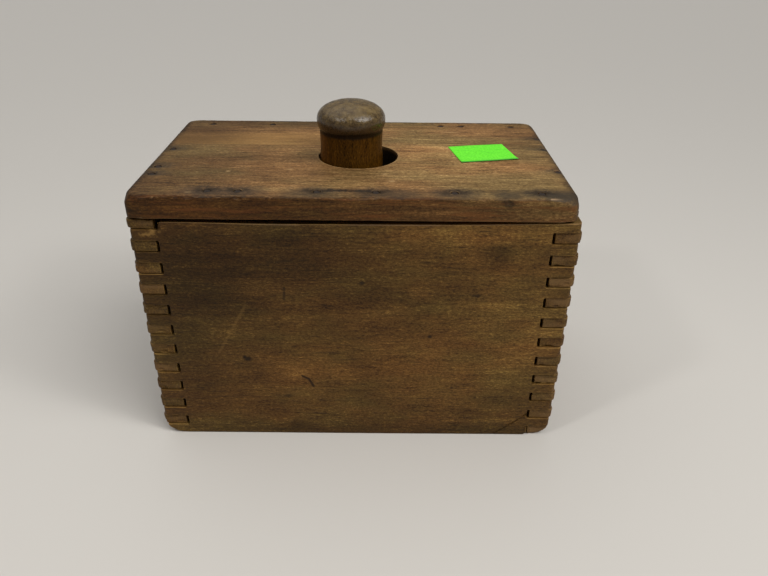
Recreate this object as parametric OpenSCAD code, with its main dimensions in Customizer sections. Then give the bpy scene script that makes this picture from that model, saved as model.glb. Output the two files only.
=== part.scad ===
// Butter mold: a finger-jointed box with no bottom, a nailed top board with a round hole,
// and a plunger whose turned handle slides up and down through that hole.
// The box stands on its open mouth, centred on the origin, with its long walls along X.
// The plunger is down, with its press plate level with the mouth.

/* [Box walls] */
// Number of finger slots up each corner
finger_count = 22; // [12:2:28]
// Height of one finger slot
finger_w = 4.76; // [3.5:0.01:6]
// Length over the outer faces of the end walls
box_l = 173.4; // [140:0.1:220]
// Depth over the outer faces of the long walls
box_d = 98; // [80:0.5:140]
// Thickness of the wall boards
wall_t = 10.6; // [7:0.1:12]
// How far the long walls' fingers stop short of the end walls' outer faces
long_recess = 0.9; // [0:0.1:1.5]
// How far the end walls' fingers stop short of the long walls' outer faces
end_recess = 0.5; // [0:0.1:1.5]
// How far the long walls' notches run in past the end walls' inner faces
root_gap = 1.1; // [0.2:0.1:2]
// Radius worn on the upright edges of the finger ends
finger_round = 2; // [1:0.1:4]
// Radius worn on the box's lower left edge
left_foot_r = 10; // [4:0.5:14]
// Radius worn on the box's lower right edge
right_foot_r = 9; // [4:0.5:14]
// Gap under the top board at the front wall's left end
front_gap_left = 1.6; // [0.2:0.1:3]
// Gap under the top board at the front wall's right end
front_gap_right = 0.6; // [0.2:0.1:3]

/* [Top board] */
// How far the top board stands out past the long walls' outer faces
lid_lap = 1; // [0:0.1:6]
// How far the top board stops short of the end walls' outer faces
lid_short = 1.15; // [-4:0.05:1.5]
// Thickness of the top board
lid_t = 9.5; // [6:0.1:14]
// Sideways shift of the top board on the box
lid_shift = -1.15; // [-1.5:0.05:1.5]
// Radius of the top board's corners in plan
lid_corner_r = 8; // [2:0.5:12]
// Radius worn on the upper edges of the top board's long sides
lid_edge_r = 1; // [0.5:0.1:3]
// Radius worn on the upper edges of the top board's ends
lid_end_r = 3.5; // [0.5:0.1:5]
// Diameter of the handle hole
hole_d = 33.5; // [29:0.5:40]
// Handle hole's place along the box
hole_x = -0.3; // [-5:0.1:5]
// Handle hole's place across the box
hole_y = -1.6; // [-5:0.1:5]

/* [Plunger] */
// Diameter of the handle's shank
shank_d = 26.5; // [20:0.5:28]
// Gap where the shank leans nearest to the hole's rim
shank_gap = 0.4; // [0.3:0.1:2]
// Direction in which the shank leans in the hole, in degrees from +X
shank_lean = 205; // [0:5:355]
// Largest diameter of the knob
knob_d = 28.6; // [28.2:0.2:40]
// Height of the knob's widest ring above the top board
knob_ring_h = 16.1; // [10:0.1:30]
// Depth of the knob's lip below its widest ring
lip_drop = 3.4; // [1:0.1:6]
// Rise of the knob's crown above its widest ring
crown_rise = 7.5; // [4:0.1:20]
// Fullness of the crown: 2 is an ellipse, and more is squarer
crown_full = 2.2; // [2:0.1:3]
// Thickness of the press plate
plate_t = 19; // [12:0.5:30]
// Clearance all round the press plate
plate_gap = 0.8; // [0.4:0.1:2]
// Radius of the press plate's upright edges
plate_corner_r = 2; // [0.5:0.5:6]
// Diameter of the handle's tenon in the press plate
tenon_d = 19; // [12:0.5:20]
// How far the wedge stops short of the tenon's shoulder
wedge_stop = 4; // [1:0.5:8]
// Thickness of the wedge at the mouth
wedge_t = 2.4; // [1.6:0.1:4]
// Thickness of the wedge at its thin end
wedge_tip_t = 0.8; // [0.4:0.1:1.5]

/* [Nails] */
// Length of a nail
nail_l = 25; // [18:0.5:40]
// Diameter of a nail's shank
nail_d = 1.8; // [1.2:0.1:2.4]
// Diameter of a nail's head
nail_head_d = 2.8; // [2.5:0.1:4]
// Thickness of a nail's head
nail_head_t = 1; // [0.5:0.1:2]
// How far the heads are driven below the top board's face
nail_set = 0.4; // [0.2:0.1:1]
// Length of a nail's point
nail_point_l = 3; // [1:0.5:6]
// Diameter of the blunt tip
nail_tip_d = 0.4; // [0.2:0.1:1]
// Nails along the front wall, as shares of the run from its middle to an end wall
front_nail_at = [-0.73, -0.58, -0.19, 0.1, 0.49, 0.92]; // [-0.95:0.01:0.95]
// Nails along the back wall, as shares of the same run
back_nail_at = [-0.95, -0.57, 0.5, 0.63, 0.95]; // [-0.95:0.01:0.95]
// Nails along the left wall, as shares of the run from its middle to a long wall
left_nail_at = [-0.69, -0.46, 0.13]; // [-0.95:0.01:0.95]
// Nails along the right wall, as shares of the same run
right_nail_at = [-0.51, 0.23, 0.65]; // [-0.95:0.01:0.95]

/* [Hidden] */
$fn = 64;

// Overshoot of a cutting shape past the face that it cuts
cut = 1;
// Steps along each curve of the handle's outline
curve_steps = 12;

wall_h = finger_count * finger_w;
lid_top = wall_h + lid_t;
lid_l = box_l - 2 * lid_short;
lid_d = box_d + 2 * lid_lap;
cavity_l = box_l - 2 * wall_t;
cavity_d = box_d - 2 * wall_t;

// Middle of each wall's thickness, where its nails go
wall_mid_x = (box_l - wall_t) / 2;
wall_mid_y = (box_d - wall_t) / 2;
front_places = [for (share = front_nail_at) [share * cavity_l / 2, -wall_mid_y]];
back_places = [for (share = back_nail_at) [share * cavity_l / 2, wall_mid_y]];
left_places = [for (share = left_nail_at) [-wall_mid_x, share * cavity_d / 2]];
right_places = [for (share = right_nail_at) [wall_mid_x, share * cavity_d / 2]];

// The handle's axis lies off the hole's centre, towards the side where the shank leans
lean_offset = (hole_d - shank_d) / 2 - shank_gap;
handle_x = hole_x + lean_offset * cos(shank_lean);
handle_y = hole_y + lean_offset * sin(shank_lean);

wedge_l = plate_t - wedge_stop;

// The knob's widest ring, where its lip and its crown meet
ring_r = knob_d / 2;
ring_z = lid_top + knob_ring_h;

wall_tint = "#5c4022";
lid_tint = "#7a5532";
handle_tint = "#4a2f18";
plate_tint = "#8a683f";
wedge_tint = "#b08a58";
nail_tint = "#2c2826";

// The lip's curve in profile, from the shank out to the widest ring
function lip_curve() =
  let (overhang = ring_r - shank_d / 2)
  [for (i = [0 : curve_steps]) let (a = 90 * i / curve_steps)
    [shank_d / 2 + overhang * sin(a), ring_z - lip_drop * cos(a)]];

// The crown's curve in profile, from the widest ring up to the axis
function crown_curve() =
  [for (i = [1 : curve_steps]) let (a = 90 * i / curve_steps)
    [ring_r * pow(max(cos(a), 0), 2 / crown_full), ring_z + crown_rise * pow(sin(a), 2 / crown_full)]];

// A rectangle with round corners, centred on the origin
module round_rect(length, depth, r) {
  square([length - 2 * r, depth], center = true);
  square([length, depth - 2 * r], center = true);
  for (x = [-1, 1], y = [-1, 1])
    translate([x * (length / 2 - r), y * (depth / 2 - r)]) circle(r);
}

// A wall board seen from above: outer face on y = 0, with that face's two corners worn round
module wall_plan(length) {
  translate([-length / 2 + finger_round, 0]) square([length - 2 * finger_round, wall_t]);
  translate([-length / 2, finger_round]) square([length, wall_t - finger_round]);
  for (side = [-1, 1])
    translate([side * (length / 2 - finger_round), finger_round]) circle(finger_round);
}

// One notch between fingers, in slot number slot from the top, from root outwards
module finger_notch(slot, side, root, reach) {
  below = slot == finger_count - 1 ? cut : 0;
  above = slot == 0 ? cut : 0;
  low_x = side > 0 ? root : -reach - cut;
  translate([low_x, -cut, wall_h - (slot + 1) * finger_w - below])
    cube([reach + cut - root, wall_t + 2 * cut, finger_w + below + above]);
}

// One wall along X in its own frame. Its top slot is a notch at the -X end and a finger at the
// +X end, so four boards cut alike lock into a ring.
module wall_board(run, recess, root) {
  reach = run / 2 - recess;
  difference() {
    linear_extrude(wall_h) wall_plan(2 * reach);
    for (slot = [0 : finger_count - 1])
      finger_notch(slot, slot % 2 == 0 ? -1 : 1, root, reach);
  }
}

module long_wall() {
  wall_board(box_l, long_recess, cavity_l / 2 - root_gap);
}

module end_wall() {
  wall_board(box_d, end_recess, cavity_d / 2);
}

// The box's outline from the front, with its two lower edges worn round
module worn_outline() {
  translate([-box_l / 2 + left_foot_r, 0]) square([box_l - left_foot_r - right_foot_r, wall_h]);
  translate([-box_l / 2, left_foot_r]) square([box_l / 2, wall_h - left_foot_r]);
  translate([0, right_foot_r]) square([box_l / 2, wall_h - right_foot_r]);
  translate([-box_l / 2 + left_foot_r, left_foot_r]) circle(left_foot_r);
  translate([box_l / 2 - right_foot_r, right_foot_r]) circle(right_foot_r);
}

// Keeps what lies inside the worn outline
module worn() {
  intersection() {
    children();
    translate([0, box_d / 2, 0]) rotate([90, 0, 0]) linear_extrude(box_d) worn_outline();
  }
}

// What is planed off the front wall's top edge, more at the left than at the right
module front_top_cut() {
  x = box_l / 2 + cut;
  translate([0, -cavity_d / 2 + cut, 0])
    rotate([90, 0, 0])
      linear_extrude(wall_t + 2 * cut)
        polygon([
          [-x, wall_h - front_gap_left], [x, wall_h - front_gap_right],
          [x, wall_h + cut], [-x, wall_h + cut]
        ]);
}

// One nail, with z = 0 on the board's face. An open one is a hole, clear up through that face.
module nail(open) {
  head_z = -nail_set - nail_head_t;
  tip_z = -nail_set - nail_l;
  translate([0, 0, head_z]) cylinder(d = nail_head_d, h = nail_head_t + (open ? nail_set + cut : 0));
  translate([0, 0, tip_z + nail_point_l]) cylinder(d = nail_d, h = head_z - tip_z - nail_point_l);
  translate([0, 0, tip_z]) cylinder(d1 = nail_tip_d, d2 = nail_d, h = nail_point_l);
}

module nails(places, open = false) {
  for (place = places)
    translate([place.x, place.y, lid_top]) nail(open);
}

module front_wall() {
  color(wall_tint)
    difference() {
      worn() translate([0, -box_d / 2, 0]) long_wall();
      front_top_cut();
      nails(front_places);
    }
}

module back_wall() {
  color(wall_tint)
    difference() {
      worn() rotate(180) translate([0, -box_d / 2, 0]) long_wall();
      nails(back_places);
    }
}

module left_wall() {
  color(wall_tint)
    difference() {
      worn() rotate(-90) translate([0, -box_l / 2, 0]) end_wall();
      nails(left_places);
    }
}

module right_wall() {
  color(wall_tint)
    difference() {
      worn() rotate(90) translate([0, -box_l / 2, 0]) end_wall();
      nails(right_places);
    }
}

// A section across the top board, with its two upper edges worn round
module lid_section(width, r) {
  translate([-width / 2, 0]) square([width, lid_t - r]);
  translate([-width / 2 + r, 0]) square([width - 2 * r, lid_t]);
  for (side = [-1, 1])
    translate([side * (width / 2 - r), lid_t - r]) circle(r);
}

// The board before drilling, on z = 0
module lid_blank() {
  intersection() {
    linear_extrude(lid_t) round_rect(lid_l, lid_d, lid_corner_r);
    translate([0, lid_d / 2, 0]) rotate([90, 0, 0]) linear_extrude(lid_d) lid_section(lid_l, lid_end_r);
    translate([-lid_l / 2, 0, 0]) rotate([90, 0, 90]) linear_extrude(lid_l) lid_section(lid_d, lid_edge_r);
  }
}

module top_board() {
  color(lid_tint)
    difference() {
      translate([lid_shift, 0, wall_h]) lid_blank();
      translate([hole_x, hole_y, wall_h - cut]) cylinder(d = hole_d, h = lid_t + 2 * cut);
      nails(concat(front_places, back_places, left_places, right_places), open = true);
    }
}

module front_nails() { color(nail_tint) nails(front_places); }
module back_nails() { color(nail_tint) nails(back_places); }
module left_nails() { color(nail_tint) nails(left_places); }
module right_nails() { color(nail_tint) nails(right_places); }

// The wedge's tapered slip, in the handle's frame, thick end at the mouth
module wedge_slip(width) {
  translate([0, width / 2, 0])
    rotate([90, 0, 0])
      linear_extrude(width)
        polygon([
          [-wedge_t / 2, 0], [wedge_t / 2, 0],
          [wedge_tip_t / 2, wedge_l], [-wedge_tip_t / 2, wedge_l]
        ]);
}

// Half of the handle's outline: tenon, shank, lip and crown
module handle_outline() {
  polygon(concat(
    [[0, 0], [tenon_d / 2, 0], [tenon_d / 2, plate_t], [shank_d / 2, plate_t]],
    lip_curve(),
    crown_curve()
  ));
}

module handle() {
  color(handle_tint)
    translate([handle_x, handle_y, 0])
      difference() {
        rotate_extrude() handle_outline();
        wedge_slip(tenon_d + 2 * cut);
      }
}

module press_plate() {
  color(plate_tint)
    difference() {
      linear_extrude(plate_t)
        round_rect(cavity_l - 2 * plate_gap, cavity_d - 2 * plate_gap, plate_corner_r);
      translate([handle_x, handle_y, -cut]) cylinder(d = tenon_d, h = plate_t + 2 * cut);
    }
}

module handle_wedge() {
  color(wedge_tint)
    translate([handle_x, handle_y, 0])
      intersection() {
        wedge_slip(tenon_d);
        cylinder(d = tenon_d, h = wedge_l);
      }
}

front_wall();
back_wall();
left_wall();
right_wall();
top_board();
front_nails();
back_nails();
left_nails();
right_nails();
handle();
press_plate();
handle_wedge();
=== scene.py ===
"""Looks of the butter mold: a worn finger-jointed box, its nailed top board and its plunger."""

import itertools
import math

import bmesh
import bpy
import numpy as np
from mathutils import Matrix, Vector


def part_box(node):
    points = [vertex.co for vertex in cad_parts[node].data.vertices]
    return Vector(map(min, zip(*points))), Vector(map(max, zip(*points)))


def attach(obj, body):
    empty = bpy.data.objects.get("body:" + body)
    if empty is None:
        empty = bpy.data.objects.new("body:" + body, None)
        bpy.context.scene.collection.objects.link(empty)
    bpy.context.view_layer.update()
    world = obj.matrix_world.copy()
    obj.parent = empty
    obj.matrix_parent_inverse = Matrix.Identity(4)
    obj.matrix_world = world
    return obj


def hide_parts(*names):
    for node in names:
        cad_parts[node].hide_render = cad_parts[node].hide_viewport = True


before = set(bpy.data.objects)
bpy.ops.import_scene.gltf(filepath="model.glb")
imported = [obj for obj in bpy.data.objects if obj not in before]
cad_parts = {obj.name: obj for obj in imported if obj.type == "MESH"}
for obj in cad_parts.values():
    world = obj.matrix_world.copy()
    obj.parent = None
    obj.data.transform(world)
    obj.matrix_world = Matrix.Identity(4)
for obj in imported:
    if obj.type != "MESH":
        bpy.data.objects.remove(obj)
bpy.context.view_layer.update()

MM = 0.001

# Voxel sizes of the worn copies, in millimetres
WALL_VOXEL = 0.3
BOARD_VOXEL = 0.42
TURNED_VOXEL = 0.34
NAIL_VOXEL = 0.2
# Points of a CAD node that lie closer than this, in metres, are joined
WELD = 1e-6
# Rounds of smoothing for fresh, blunted and fully worn arrises, each on top of the one before
SOFT_STEPS = 1
ARRIS_STEPS = 5
HARD_STEPS = 16
SHARP_ANGLE = math.radians(28)
# Most triangles of a worn copy
BOARD_TRIANGLES = 40000
WALL_TRIANGLES = 60000
NAIL_TRIANGLES = 9000


def box_mm(node):
    """A CAD node's lowest and highest corners at rest, in millimetres."""
    low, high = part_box(node)
    return np.array(low) / MM, np.array(high) / MM


# Places taken from the frame, in millimetres
LID_LOW, LID_HIGH = box_mm("top_board")
FRONT_LOW, FRONT_HIGH = box_mm("front_wall")
SIDE_HIGH = box_mm("right_wall")[1]
PLATE_HIGH = box_mm("press_plate")[1]
HANDLE_LOW, HANDLE_HIGH = box_mm("handle")
HANDLE_AXIS = (HANDLE_LOW[:2] + HANDLE_HIGH[:2]) / 2
KNOB_TOP = HANDLE_HIGH[2]
LID_TOP = LID_HIGH[2]
LID_MIDDLE = (LID_LOW[:2] + LID_HIGH[:2]) / 2
LID_HALF = (LID_HIGH[:2] - LID_LOW[:2]) / 2
FRONT_Y = FRONT_LOW[1]
OUTER_X = SIDE_HIGH[0]


# Noise and mesh wear

# Odd factors that scatter a lattice point, a seed and a key over the bits of a key
POINT_SCATTER = np.array((374761393, 668265263, 1274126177))
SEED_SCATTER = 1911520717
KEY_SCATTER = 1274126177
KEY_BITS = 0xFFFFFFFF


def lattice_noise(points, cell, seed):
    """Smooth noise from 0 to 1 over points, on a lattice of that cell size."""
    scaled = points / np.asarray(cell, float)
    base = np.floor(scaled).astype(np.int64)
    part = scaled - base
    part = part * part * (3 - 2 * part)
    total = np.zeros(len(points))
    for corner in itertools.product((0, 1), repeat=3):
        key = ((base + corner) @ POINT_SCATTER + seed * SEED_SCATTER) & KEY_BITS
        key = ((key ^ (key >> 13)) * KEY_SCATTER) & KEY_BITS
        key = key ^ (key >> 16)
        weight = np.prod(np.where(corner, part, 1 - part), axis=1)
        total += weight * key / KEY_BITS
    return total


def ramp(value, low, high):
    """Smooth step of value from 0 at low to 1 at high."""
    t = np.clip((value - low) / (high - low), 0, 1)
    return t * t * (3 - 2 * t)


def dip(distance, width):
    """A round-bottomed hollow from 1 at no distance to 0 at width."""
    return ramp(distance, width, 0)


def path_distance(points, path):
    """Distance from each point to the nearest stretch of a path."""
    path = np.asarray(path, float)
    best = np.full(len(points), np.inf)
    for a, b in zip(path[:-1], path[1:]):
        run = b - a
        share = np.clip((points - a) @ run / (run @ run), 0, 1)
        best = np.minimum(best, np.linalg.norm(points - a - share[:, None] * run, axis=1))
    return best


def apply_modifiers(obj):
    """Puts the mesh that an object's modifiers make in the place of its own."""
    bpy.context.view_layer.update()
    graph = bpy.context.evaluated_depsgraph_get()
    mesh = bpy.data.meshes.new_from_object(obj.evaluated_get(graph), depsgraph=graph)
    obj.modifiers.clear()
    old = obj.data
    obj.data = mesh
    bpy.data.meshes.remove(old)


def new_object(name, data):
    """An object in the scene with that mesh, light or camera."""
    obj = bpy.data.objects.new(name, data)
    bpy.context.scene.collection.objects.link(obj)
    return obj


def read_vectors(items, key):
    """One vector property of every vertex in a mesh, as an array."""
    values = np.empty(len(items) * 3, np.float32)
    items.foreach_get(key, values)
    return values.reshape(-1, 3).astype(float)


def set_points(mesh, co):
    """Moves a mesh's vertices to co."""
    mesh.vertices.foreach_set("co", co.astype(np.float32).ravel())
    mesh.update()


def relaxed(co, edges, steps):
    """co after that many rounds of pulling each point halfway to the mean of its neighbours."""
    a, b = edges.T
    count = np.bincount(a, minlength=len(co)) + np.bincount(b, minlength=len(co))
    count = np.maximum(count, 1)[:, None]
    for _ in range(steps):
        near = [
            np.bincount(a, co[b, k], len(co)) + np.bincount(b, co[a, k], len(co))
            for k in range(3)
        ]
        co = co + 0.5 * (np.stack(near, 1) / count - co)
    return co


def voxel_copy(node, name, voxel):
    """A closed, evenly meshed copy of a CAD node."""
    obj = new_object(name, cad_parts[node].data.copy())
    obj.data.materials.clear()
    shell = bmesh.new()
    shell.from_mesh(obj.data)
    bmesh.ops.remove_doubles(shell, verts=shell.verts, dist=WELD)
    shell.to_mesh(obj.data)
    shell.free()
    remesh = obj.modifiers.new("remesh", "REMESH")
    remesh.mode = "VOXEL"
    remesh.voxel_size = voxel * MM
    apply_modifiers(obj)
    return obj


def worn_copy(
    node, name, wear, carve=None, voxel=BOARD_VOXEL, triangles=BOARD_TRIANGLES, drop=None
):
    """A copy of a CAD node with worn arrises. wear(points) gives the share of full rounding,
    drop(points) how far each point comes down, and carve(points, normals) how deep it sinks along
    its normal, in millimetres. The attribute arris is about 0.5 on arrises and about -0.5 in inner
    corners."""
    obj = voxel_copy(node, name, voxel)
    mesh = obj.data
    co = read_vectors(mesh.vertices, "co") / MM
    edges = np.empty(len(mesh.edges) * 2, np.int32)
    mesh.edges.foreach_get("vertices", edges)
    edges = edges.reshape(-1, 2)
    soft = relaxed(co, edges, SOFT_STEPS)
    blunt = relaxed(soft, edges, ARRIS_STEPS)
    hard = relaxed(blunt, edges, HARD_STEPS)
    worn = soft + (hard - soft) * wear(co)[:, None]
    if drop is not None:
        worn[:, 2] -= drop(co)
    set_points(mesh, worn * MM)
    normals = read_vectors(mesh.vertices, "normal")
    if carve is not None:
        set_points(mesh, (worn - normals * carve(co, normals)[:, None]) * MM)
    stand = np.sum((co - blunt) * normals, axis=1) / voxel
    arris = mesh.attributes.new("arris", "FLOAT", "POINT")
    arris.data.foreach_set("value", stand.astype(np.float32))
    faces = sum(len(p.vertices) - 2 for p in mesh.polygons)
    if faces > triangles:
        thin = obj.modifiers.new("thin", "DECIMATE")
        thin.ratio = triangles / faces
        apply_modifiers(obj)
    obj.data.shade_smooth()
    obj.data.set_sharp_from_angle(angle=SHARP_ANGLE)
    weighted = obj.modifiers.new("weighted", "WEIGHTED_NORMAL")
    weighted.keep_sharp = True
    apply_modifiers(obj)
    return obj


def even_wear(share):
    """The same share of full rounding on every arris."""
    return lambda co: np.full(len(co), share)


def finish_piece(obj, body, slot, material, *nodes):
    """Gives a piece its material, its body and the CAD nodes that it replaces. The slot is not
    used.
    """
    obj.data.materials.append(material)
    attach(obj, body)
    if nodes:
        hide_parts(*nodes)
    return obj


# Shader building

# Share of a spot's radius or a stroke's width that has its full strength
SOFT_CORE = 0.2


class Tree:
    """A material's node tree, with short calls for the nodes used here."""

    def __init__(self, name):
        self.material = bpy.data.materials.new(name)
        self.material.use_nodes = True
        self.nodes = self.material.node_tree.nodes
        self.links = self.material.node_tree.links
        self.shader = self.nodes["Principled BSDF"]

    def put(self, socket, value):
        """Links a socket to another one, or gives it a value."""
        if isinstance(value, bpy.types.NodeSocket):
            self.links.new(value, socket)
        else:
            socket.default_value = value

    def surface(self, key, value):
        """Sets one input of the surface's shader."""
        self.put(self.shader.inputs[key], value)

    def add(self, kind, *inputs, **settings):
        """A new node of that kind, with its first inputs and its settings."""
        node = self.nodes.new(kind)
        for key, value in settings.items():
            setattr(node, key, value)
        for socket, value in zip(node.inputs, inputs):
            if value is not None:
                self.put(socket, value)
        return node

    def math(self, operation, a, b=0.0, c=0.0):
        return self.add("ShaderNodeMath", a, b, c, operation=operation).outputs[0]

    def vector(self, operation, a, b=(0, 0, 0), c=(0, 0, 0)):
        node = self.add("ShaderNodeVectorMath", a, b, c, operation=operation)
        return node.outputs["Value" if operation in ("LENGTH", "DOT_PRODUCT") else "Vector"]

    def noise(self, place, stretch, detail=3.0, rough=0.55):
        """Noise from 0 to 1 over place, scaled by stretch on each axis."""
        node = self.add("ShaderNodeTexNoise")
        self.put(node.inputs["Vector"], self.vector("MULTIPLY", place, stretch))
        node.inputs["Scale"].default_value = 1.0
        node.inputs["Detail"].default_value = detail
        node.inputs["Roughness"].default_value = rough
        return node.outputs[0]

    def swayed(self, place, noise, reach):
        """place moved by a noise, up to half of reach to either side along each axis."""
        sway = self.noise(place, *noise).node.outputs["Color"]
        shift = self.vector("MULTIPLY_ADD", sway, reach, [-r / 2 for r in reach])
        return self.vector("ADD", place, shift)

    def step(self, value, low, high, top=1.0):
        """Smooth step from 0 at low to top at high."""
        node = self.add("ShaderNodeMapRange", interpolation_type="SMOOTHSTEP")
        for socket, v in zip(node.inputs, (value, low, high, 0.0, top)):
            self.put(socket, v)
        return node.outputs["Result"]

    def mix(self, share, a, b, blend="MIX"):
        """Colour a with that share of b blended over it."""
        node = self.add("ShaderNodeMix", data_type="RGBA", blend_type=blend)
        sockets = [s for s in node.inputs if s.enabled]
        for socket, value in zip(sockets, (share, a, b)):
            self.put(socket, value)
        return next(s for s in node.outputs if s.enabled)

    def blend(self, value, colours):
        """Colours spread evenly from value 0 to value 1."""
        node = self.add("ShaderNodeValToRGB", value)
        stops = node.color_ramp.elements
        for at, colour in zip(np.linspace(0, 1, len(colours))[1:-1], colours[1:-1]):
            stops.new(at).color = colour
        stops[0].color = colours[0]
        stops[-1].color = colours[-1]
        return node.outputs["Color"]

    def frame_mm(self, axes="XYZ"):
        """The point on the surface in millimetres, with the axes in that order."""
        place = self.add("ShaderNodeTexCoord").outputs["Object"]
        place = self.vector("MULTIPLY", place, (1 / MM,) * 3)
        if axes == "XYZ":
            return place
        split = self.axes_of(place)
        return self.add("ShaderNodeCombineXYZ", *[split[a] for a in axes]).outputs[0]

    def axes_of(self, place):
        return self.add("ShaderNodeSeparateXYZ", place).outputs

    def facing(self, axis):
        """How far the surface faces along an axis of the frame, from -1 to 1."""
        return self.axes_of(self.add("ShaderNodeTexCoord").outputs["Normal"])[axis]

    def arris(self):
        """The attribute of a worn copy that tells arrises from inner corners."""
        return self.add("ShaderNodeAttribute", attribute_name="arris").outputs["Fac"]

    def spots(self, place, spots):
        """The strongest of soft ellipsoid spots at place. A spot is (centre, radii, strength)."""
        total = 0.0
        for centre, radii, strength in spots:
            scale = [1 / r for r in radii]
            shift = [-c / r for c, r in zip(centre, radii)]
            reach = self.vector("LENGTH", self.vector("MULTIPLY_ADD", place, scale, shift))
            total = self.math("MAXIMUM", self.step(reach, 1.0, SOFT_CORE, strength), total)
        return total

    def stroke(self, place, start, end, width, strength):
        """A soft straight mark from start to end."""
        start = np.asarray(start, float)
        run = np.asarray(end, float) - start
        offset = self.vector("SUBTRACT", place, tuple(start))
        share = self.vector("DOT_PRODUCT", offset, tuple(run / (run @ run)))
        share = self.add("ShaderNodeClamp", share).outputs[0]
        along = self.add("ShaderNodeVectorMath", tuple(run), operation="SCALE")
        self.put(along.inputs["Scale"], share)
        reach = self.vector("LENGTH", self.vector("SUBTRACT", offset, along.outputs["Vector"]))
        return self.step(reach, width, SOFT_CORE * width, strength)

    def bump(self, height, distance, strength=0.5):
        """Fine relief, where a height of 1 stands that distance out, in millimetres."""
        node = self.add("ShaderNodeBump")
        node.inputs["Strength"].default_value = strength
        node.inputs["Distance"].default_value = distance * MM
        self.put(node.inputs["Height"], height)
        self.surface("Normal", node.outputs[0])


def rgb(r, g, b):
    """An sRGB colour from 0 to 255 as linear RGBA."""
    def linear(c):
        return c / 255 / 12.92 if c <= 10 else ((c / 255 + 0.055) / 1.055) ** 2.4
    return (linear(r), linear(g), linear(b), 1.0)


# Wood

# Colour of dirt, also laid as painted shade on inner corners and inside the handle hole
GRIME_AND_SHADE = rgb(30, 21, 12)
# Factors on the wood's colour where it drifts towards red and towards olive
RED_DRIFT = (1.08, 0.97, 0.90, 1.0)
OLIVE_DRIFT = (0.93, 1.01, 0.94, 1.0)
# Factors on the wood's colour under painted shade and old dirt, and under painted light
SHADE_AND_DIRT = (0.18, 0.15, 0.13, 1.0)
PAINTED_LIGHT = (2.6, 2.5, 2.55, 1.0)
# Noises of the wood: stretch along the grain and across it, detail, roughness
SWAY_NOISE = ((0.005, 0.022, 0.022), 2.0)
RING_NOISE = ((0.006, 0.6, 0), 4.0, 0.75)
FIBRE_NOISE = ((0.08, 0.9, 0.9), 3.0, 0.75)
FLECK_NOISE = ((0.8, 1.8, 1.8), 2.0, 0.8)
MOTTLE_NOISE = ((0.04, 0.09, 0.09), 5.0, 0.6)
DRIFT_NOISE = ((0.02, 0.05, 0.05), 4.0, 0.6)
PORE_NOISE = ((0.12, 1.5, 1.5), 1.0)
GRIME_NOISE = ((0.12, 0.25, 0.25), 6.0, 0.72)
WOBBLE_NOISE = ((0.3, 0.3, 0.3), 4.0, 0.7)
# How far the grain sways and the edges of marks wobble, in millimetres along each axis
GRAIN_SWAY = (0, 10, 10)
MARK_WOBBLE = (8, 8, 8)
# How far along the grain one seed's wood lies from the next one's, in millimetres
SEED_STRIDE = 371.0
# Weights of rings, fibres, flecks and mottling in a wood's tone
PLAIN_FIGURE = (0.6, 0.7, 1.4, 0.6)
LID_FIGURE = (0.8, 1.35, 1.45, 0.6)
SHANK_FIGURE = (0.6, 1.1, 1.7, 0.7)
# Least roughness and specular level of bare wood, of the handle's shank and of its knob's cap
BARE_SHINE = (0.4, 0.15)
SHANK_SHINE = (0.2, 0.1)
CAP_SHINE = (0.08, 0.45)


def bare_shine(tree):
    return BARE_SHINE


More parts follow.
